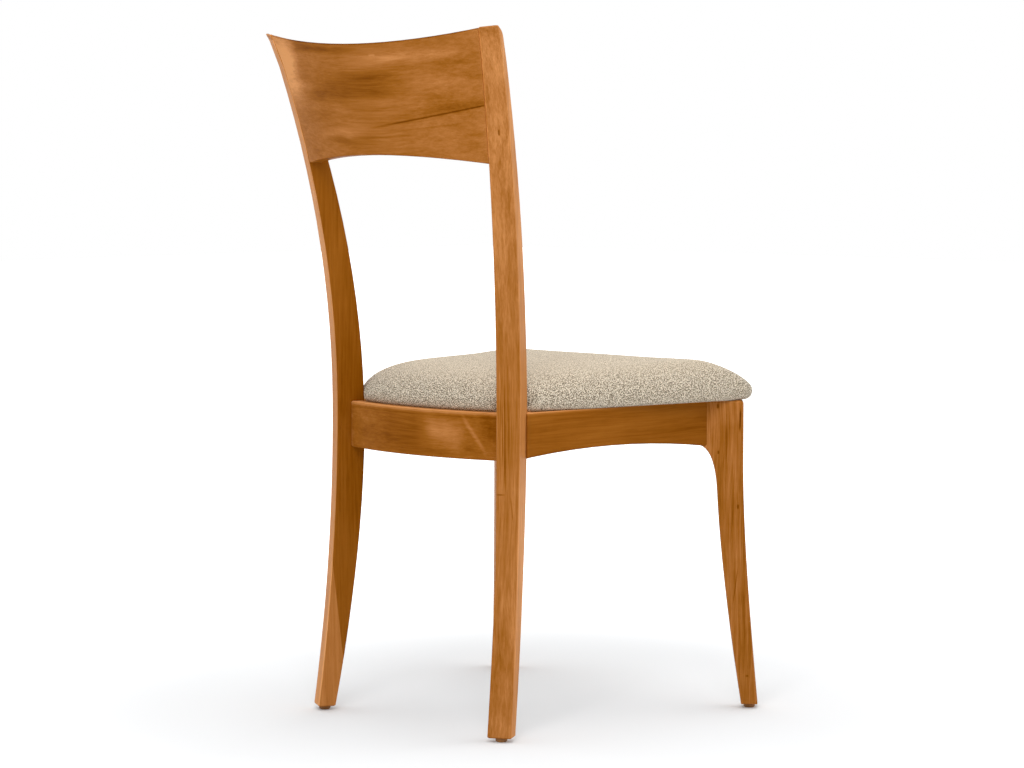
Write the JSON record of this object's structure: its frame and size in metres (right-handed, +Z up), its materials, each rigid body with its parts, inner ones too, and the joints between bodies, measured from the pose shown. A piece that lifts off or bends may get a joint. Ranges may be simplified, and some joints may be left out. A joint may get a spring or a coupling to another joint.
{
  "type": "klismos dining chair",
  "caption": "Wooden klismos dining chair with sabre legs turned outwards in plan, a curved crest rail, bowed seat rails and an upholstered seat.",
  "frame": {"origin": "on the floor, under the middle of the bounding box", "axes": "+X to the left of a person sitting in the chair, -Y the way that person faces, +Z up"},
  "size_m": [0.52, 0.5567, 0.942],
  "materials": {
    "cherry": "satin lacquer",
    "beech": "bare, sanded",
    "plywood": "bare, sanded",
    "foam": "cut foam",
    "tweed": "woven oatmeal tweed",
    "cambric": "thin black non-woven",
    "steel": "zinc plated",
    "glide": "matt"
  },
  "bodies": {
    "root": {"rear_leg_right": "cherry", "rear_leg_left": "cherry", "front_leg_right": "cherry", "front_leg_left": "cherry", "crest_rail": "cherry", "rear_rail": "cherry", "front_rail": "cherry", "side_rail_right": "cherry", "side_rail_left": "cherry", "front_corner_block_right": "beech", "front_corner_block_left": "beech", "rear_corner_block_right": "beech", "rear_corner_block_left": "beech", "crest_upper_dowel_right": "beech", "crest_upper_dowel_left": "beech", "crest_lower_dowel_right": "beech", "crest_lower_dowel_left": "beech", "rear_rail_upper_dowel_right": "beech", "rear_rail_upper_dowel_left": "beech", "rear_rail_lower_dowel_right": "beech", "rear_rail_lower_dowel_left": "beech", "side_rail_rear_upper_dowel_right": "beech", "side_rail_rear_upper_dowel_left": "beech", "side_rail_rear_lower_dowel_right": "beech", "side_rail_rear_lower_dowel_left": "beech", "side_rail_front_upper_dowel_right": "beech", "side_rail_front_upper_dowel_left": "beech", "side_rail_front_lower_dowel_right": "beech", "side_rail_front_lower_dowel_left": "beech", "front_rail_upper_dowel_right": "beech", "front_rail_upper_dowel_left": "beech", "front_rail_lower_dowel_right": "beech", "front_rail_lower_dowel_left": "beech", "front_block_side_screw_right": "steel", "front_block_side_screw_left": "steel", "front_block_rail_screw_right": "steel", "front_block_rail_screw_left": "steel", "front_seat_screw_right": "steel", "front_seat_screw_left": "steel", "rear_block_side_screw_right": "steel", "rear_block_side_screw_left": "steel", "rear_block_rail_screw_right": "steel", "rear_block_rail_screw_left": "steel", "rear_seat_screw_right": "steel", "rear_seat_screw_left": "steel", "rear_glide_right": "glide", "rear_glide_left": "glide", "front_glide_right": "glide", "front_glide_left": "glide", "seat_board": "plywood", "seat_foam": "foam", "seat_cover": "tweed", "dust_cover": "cambric"}
  },
  "joints": []
}
